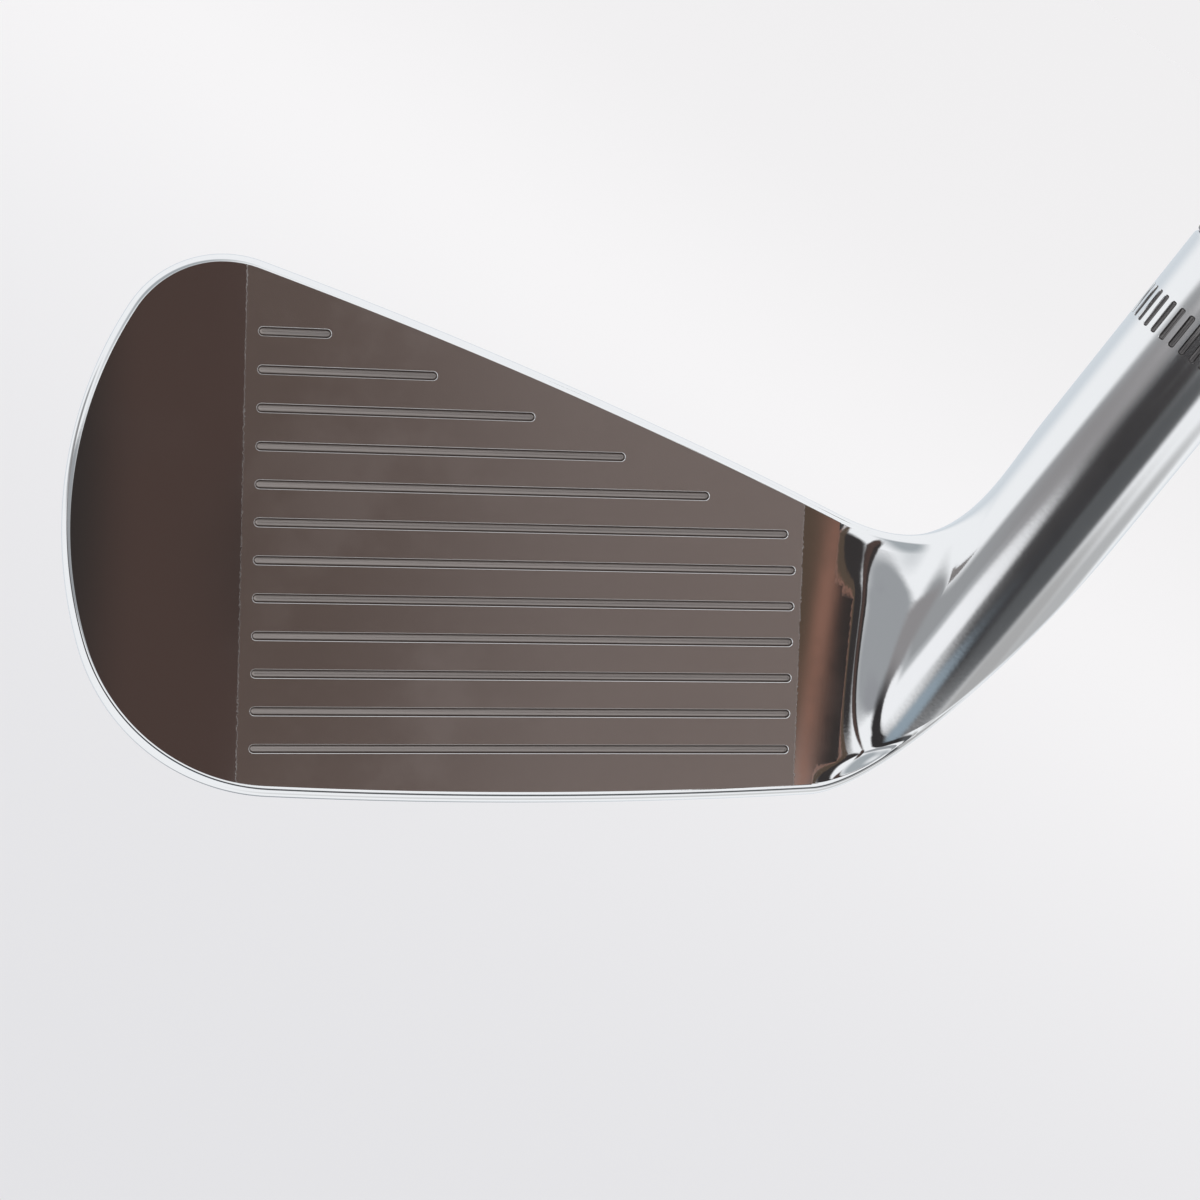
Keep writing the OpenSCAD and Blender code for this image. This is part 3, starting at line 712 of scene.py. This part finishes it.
# The face's own directions, for shader nodes
ALONG_FACE, UP_FACE, OUT_OF_FACE = (tuple(TO_CLUB[:3, k]) for k in range(3))


def rgb(*channels):
    """Linear colour from 8-bit display values."""
    return tuple((c / 255 / 12.92) if c <= 10 else ((c / 255 + 0.055) / 1.055) ** 2.4 for c in channels)


def finish_shader(nodes, shader, **sockets):
    for name, value in sockets.items():
        socket = shader.inputs[name.replace("_", " ")]
        nodes.set(socket, (*value, 1.0) if isinstance(value, tuple) and len(value) == 3 else value)


def along_face(nodes, place):
    """Millimetres along the score lines from their toe end."""
    there = nodes.math("SUBTRACT", nodes.dot(place, ALONG_FACE), float(np.dot(FACE_POINT, ALONG_FACE)))
    return nodes.math("MULTIPLY", there, 1 / MM)


# Along the score lines: where the blasted band starts and ends, half the width of its edge, and where the
# polish beside the face turns into the neck's
BLAST_FROM, BLAST_TO, BLAST_EDGE = -1.2, 54.5, 0.07
NECK_POLISH = (63.0, 73.0)
# The band's colour, partly painted reflection, is darker towards the toe, over this length, and more so
# outside its clouds
TONE_L, CLOUD_SHIFT = 34.0, 9.0


def chrome(name, colour, roughness, grain, face_roughness=None):
    """Plate with fine polishing marks and a little haze, sharper beside the face if that is given."""
    mat, nodes, shader, place = material(name)
    haze = nodes.ramp(nodes.noise(place, 60, 3), 0.35, 0.75)
    rough = nodes.math("ADD", roughness, nodes.math("MULTIPLY", haze, grain))
    if face_roughness is not None:
        rough = nodes.ramp(along_face(nodes, place), *NECK_POLISH, face_roughness, rough)
    finish_shader(nodes, shader, Base_Color=colour, Metallic=1.0, Roughness=rough,
                  Normal=nodes.bump(nodes.noise(place, 2600, 2), 0.05, 0.00002))
    return mat


def face_steel():
    """The flat face: a blasted band between a polished toe and heel. The band's dark brown colour is partly
    blasted steel's own tone and partly painted reflection of dark surroundings.
    """
    mat, nodes, shader, place = material("face_steel")
    ragged = nodes.math("MULTIPLY", nodes.math("SUBTRACT", nodes.noise(place, 4000, 2), 0.5), 0.5)
    s = nodes.math("ADD", along_face(nodes, place), ragged)
    blasted = nodes.math("MULTIPLY", nodes.ramp(s, BLAST_FROM - BLAST_EDGE, BLAST_FROM + BLAST_EDGE),
                         nodes.ramp(s, BLAST_TO + BLAST_EDGE, BLAST_TO - BLAST_EDGE))
    grit = nodes.noise(place, 9000, 3, 0.65)
    cloud = nodes.ramp(nodes.noise(place, 85, 4, 0.6), 0.48, 0.72)
    tone = nodes.ramp(nodes.math("ADD", s, nodes.math("MULTIPLY", cloud, CLOUD_SHIFT)), 0.0, TONE_L)
    # Blasted steel's darker tone with painted reflection of dark brown surroundings
    blasted_and_painted_reflection = nodes.blend(tone, (0.172, 0.128, 0.111), (0.246, 0.198, 0.180))
    colour = nodes.blend(blasted, (0.80, 0.78, 0.77), blasted_and_painted_reflection)
    rough = nodes.math("ADD", nodes.math("MULTIPLY", blasted, 0.27),
                       nodes.math("ADD", 0.035, nodes.math("MULTIPLY", cloud, 0.02)))
    bump = nodes.bump(grit, nodes.math("MULTIPLY", blasted, 0.35), 0.00003)
    finish_shader(nodes, shader, Base_Color=colour, Metallic=1.0, Roughness=rough, Normal=bump)
    return mat


def plastic(name, colour, roughness, scale, strength):
    mat, nodes, shader, place = material(name)
    speck = nodes.noise(place, scale, 3)
    dark, light = (tuple(share * c for c in colour) for share in (0.85, 1.15))
    tint = nodes.blend(nodes.ramp(speck, 0.3, 0.7), dark, light)
    finish_shader(nodes, shader, Base_Color=tint, Roughness=roughness,
                  Normal=nodes.bump(speck, strength, 0.00004))
    return mat


def rubber():
    """Moulded rubber: fine cord-like grain, slightly polished where hands rub."""
    mat, nodes, shader, place = material("grip_rubber")
    fine = nodes.noise(place, 5200, 3, 0.6)
    wear = nodes.ramp(nodes.noise(place, 55, 3), 0.4, 0.7)
    colour = nodes.blend(wear, rgb(40, 40, 42), rgb(54, 54, 56))
    rough = nodes.math("SUBTRACT", 0.72, nodes.math("MULTIPLY", wear, 0.14))
    finish_shader(nodes, shader, Base_Color=colour, Roughness=rough, Normal=nodes.bump(fine, 0.35, 0.00006))
    return mat


def brushed(name, colour, roughness):
    """Sheet metal brushed along the score lines' direction."""
    mat, nodes, shader, place = material(name)
    stretch = ((ALONG_FACE, 60.0), (UP_FACE, 5200.0), (OUT_OF_FACE, 5200.0))
    turn = nodes.add("ShaderNodeCombineXYZ", {
        n: nodes.math("MULTIPLY", nodes.dot(place, way), scale) for n, (way, scale) in enumerate(stretch)})
    lines = nodes.noise(turn.outputs[0], 1.0, 3)
    tint = nodes.blend(nodes.ramp(lines, 0.3, 0.7), tuple(0.9 * c for c in colour), colour)
    finish_shader(nodes, shader, Base_Color=tint, Metallic=1.0, Roughness=roughness,
                  Normal=nodes.bump(lines, 0.12, 0.00003))
    return mat


CHROME = (0.86, 0.865, 0.875)
head.data.materials.clear()
# In the order of CHROMED, FLAT, GROOVE and SLOT
for mat in (chrome("head_chrome", CHROME, 0.09, 0.03, 0.045), face_steel(),
            # The grooves' dark colour is painted shade in these recesses
            brushed("groove_painted_shade", (0.32, 0.285, 0.27), 0.3),
            # The slots' dark colour is painted shade in these recesses
            brushed("slot_painted_shade", (0.20, 0.19, 0.19), 0.35)):
    head.data.materials.append(mat)
head.data.polygons.foreach_set("material_index", head_finish.astype(np.int32))
for obj, mat in ((toe_plug, brushed("tungsten", (0.40, 0.40, 0.42), 0.32)),
                 (ferrule, plastic("ferrule_gloss", rgb(26, 25, 26), 0.16, 900, 0.02)),
                 (shaft, chrome("shaft_chrome", CHROME, 0.06, 0.02)),
                 (grip, rubber()),
                 (plate, brushed("badge_aluminium", (0.62, 0.63, 0.65), 0.30))):
    obj.data.materials.append(mat)
cap.data.materials.append(grip.data.materials[0])
for node, mat in (("damping_pad", plastic("pad_rubber", rgb(36, 36, 38), 0.8, 3000, 0.3)),
                  ("epoxy_sleeve", plastic("epoxy", rgb(190, 172, 120), 0.35, 700, 0.05)),
                  ("tip_weight", chrome("turned_brass", (0.75, 0.56, 0.26), 0.18, 0.06)),
                  ("grip_tape", plastic("tape_paper", rgb(224, 219, 205), 0.85, 1800, 0.2))):
    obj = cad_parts[node]
    obj.data.materials.clear()
    obj.data.materials.append(mat)


# ---------- Floor, surroundings and light ----------
def make_floor():
    """Pale paper that runs to the horizon, with painted shade: darker along a line under the club and paler
    on both sides of it.
    """
    mesh = bpy.data.meshes.new("floor")
    size, z = 300.0, -1.15
    corners = [(-size, -size, z), (size, -size, z), (size, size, z), (-size, size, z)]
    mesh.from_pydata(corners, [], [(0, 1, 2, 3)])
    obj = bpy.data.objects.new("floor", mesh)
    bpy.context.scene.collection.objects.link(obj)
    mat, nodes, shader, place = material("floor_paper_painted_shade")
    # Painted shade: the paper is darker along a line under the club
    away = nodes.math("ABSOLUTE", nodes.dot(place, (0.2, 0.98, 0.0)))
    paper = nodes.blend(nodes.ramp(away, 0.2, 2.6), rgb(226, 226, 229), rgb(248, 247, 248))
    finish_shader(nodes, shader, Base_Color=paper, Roughness=1.0, Specular_IOR_Level=0.0)
    mesh.materials.append(mat)
    obj.visible_glossy = False


# What polished metal mirrors, by direction from the face's normal. Each soft patch is (centre across,
# centre up, half width, half height, turn, softness) and a colour, all in degrees but the softness, a share
SURROUNDINGS = [
    ((0, -152, 90, 24, 0, 0.5), rgb(148, 153, 159)),
    ((-14, 27, 22, 17, 0, 0.45), rgb(170, 176, 180)),
    ((40, -82, 42, 11, 0, 0.5), rgb(216, 217, 217)),
    ((80, -62, 26, 8, 0, 0.5), rgb(188, 189, 190)),
    ((-74, 17, 16, 13, -42, 0.4), rgb(158, 160, 162)),
    ((-32, -0.5, 36, 7.5, -8, 0.3), rgb(160, 163, 166)),
    ((-26, -7, 14, 3.5, 0, 0.4), rgb(154, 156, 160)),
    ((-58, 6.5, 26, 4.5, -43, 0.4), rgb(148, 146, 147)),
    ((-15, -26.3, 41, 6.8, -34, 0.3), rgb(53, 51, 52)),
    ((-50, -8.5, 16, 3.4, -38, 0.3), rgb(252, 253, 255)),
    ((-9.5, -14.3, 9.5, 2.8, 15, 0.35), rgb(252, 253, 255)),
    ((14, -41, 20, 7, -28, 0.3), rgb(86, 88, 90)),
    ((-13, -35.5, 12, 1.7, -34, 0.6), rgb(150, 165, 176)),
    ((42, -58, 19, 6, -12, 0.4), rgb(178, 178, 178)),
    ((2.7, -1.5, 3.4, 13, 0, 0.15), rgb(80, 66, 62)),
    ((0.4, -0.5, 1.4, 10, 0, 0.6), rgb(56, 52, 51)),
    ((13.5, -3.5, 8, 5, 0, 0.3), rgb(56, 53, 53)),
    ((17.6, -4, 1.1, 12, -6, 0.2), rgb(88, 76, 66)),
    ((19.9, -4, 1.0, 12, -6, 0.2), rgb(52, 50, 50)),
    ((18.75, -5, 0.22, 9, -6.4, 0.7), rgb(150, 112, 98)),
]


# Degrees from the face's normal over which the white in front turns into the pale grey behind
BEHIND = (118.0, 150.0)


def make_world():
    """The studio: a plain colour for the camera and for soft light, the surroundings for what mirrors."""
    world = bpy.data.worlds.new("studio")
    bpy.context.scene.world = world
    world.use_nodes = True
    nodes = Nodes(world.node_tree)

    def times(a, b):
        return nodes.math("MULTIPLY", a, b)

    way = nodes.add("ShaderNodeTexCoord").outputs["Generated"]
    across, up, out = (nodes.dot(way, axis) for axis in (ALONG_FACE, UP_FACE, OUT_OF_FACE))
    angle = nodes.math("DEGREES", nodes.math("ARCCOSINE", out))
    side = nodes.math("SQRT", nodes.math("ADD", times(across, across),
                                         nodes.math("ADD", times(up, up), 1e-9)))
    x, y = (times(nodes.math("DIVIDE", part, side), angle) for part in (across, up))
    mirrored = nodes.blend(nodes.ramp(angle, *BEHIND), (0.97, 0.985, 1.0), rgb(218, 225, 231))
    for (cx, cy, wide, high, turn, soft), colour in SURROUNDINGS:
        c, s = math.cos(math.radians(turn)), math.sin(math.radians(turn))
        dx, dy = nodes.math("SUBTRACT", x, float(cx)), nodes.math("SUBTRACT", y, float(cy))
        u = nodes.math("ADD", times(dx, c / wide), times(dy, s / wide))
        v = nodes.math("SUBTRACT", times(dy, c / high), times(dx, s / high))
        reach = nodes.math("SQRT", nodes.math("ADD", times(u, u), times(v, v)))
        mirrored = nodes.blend(nodes.ramp(reach, 1 + soft, 1 - soft), mirrored, colour)
    path = nodes.add("ShaderNodeLightPath")
    seen = nodes.add("ShaderNodeBackground", {"Color": mirrored, "Strength": 1.0})
    plain = nodes.add("ShaderNodeBackground", {"Color": (1, 1, 1, 1), "Strength": 0.93})
    paper = nodes.add("ShaderNodeBackground", {"Color": (*rgb(240, 239, 240), 1), "Strength": 1.0})
    mirror = nodes.math("MAXIMUM", path.outputs["Is Glossy Ray"], path.outputs["Is Transmission Ray"])
    first = nodes.add("ShaderNodeMixShader", {0: mirror, 1: plain, 2: seen})
    both = nodes.add("ShaderNodeMixShader", {0: path.outputs["Is Camera Ray"], 1: first, 2: paper})
    nodes.add("ShaderNodeOutputWorld", {"Surface": both})


def lamp(name, place, target, size, power):
    data = bpy.data.lights.new(name, "AREA")
    data.shape, data.size, data.energy = "DISK", size, power
    obj = bpy.data.objects.new(name, data)
    bpy.context.scene.collection.objects.link(obj)
    obj.location = place
    obj.rotation_euler = (Vector(target) - Vector(place)).to_track_quat("-Z", "Y").to_euler()
    obj.visible_glossy = False


def make_camera():
    """The eye and its directions are given in the face's frame."""
    data = bpy.data.cameras.new("camera")
    data.sensor_width, data.lens, data.clip_start, data.clip_end = 36.0, 72.0, 0.01, 1000.0
    obj = bpy.data.objects.new("camera", data)
    bpy.context.scene.collection.objects.link(obj)
    right, down = np.array([0.9723, 0.033, 0.2315]), np.array([0.0156, -0.997, 0.0764])
    right /= np.linalg.norm(right)
    down -= right * np.dot(right, down)
    down /= np.linalg.norm(down)
    forward = np.cross(right, down)
    turn = np.column_stack([TO_CLUB[:3, :3] @ v for v in (right, -down, -forward)])
    eye = to_club([-21.06, 31.78, 228.25]) * MM
    obj.matrix_world = Matrix.Translation(eye) @ Matrix(turn.tolist()).to_4x4()
    bpy.context.scene.camera = obj


make_floor()
make_world()
lamp("key", (-1.6, -2.2, 1.9), (0, 0, -0.3), 2.2, 9)
lamp("fill", (2.2, -1.2, 1.2), (0, 0, -0.3), 2.4, 4)
lamp("back", (0.4, 2.4, 1.6), (0, 0, -0.3), 2.4, 4)
make_camera()
bpy.context.scene.view_settings.view_transform = "Standard"
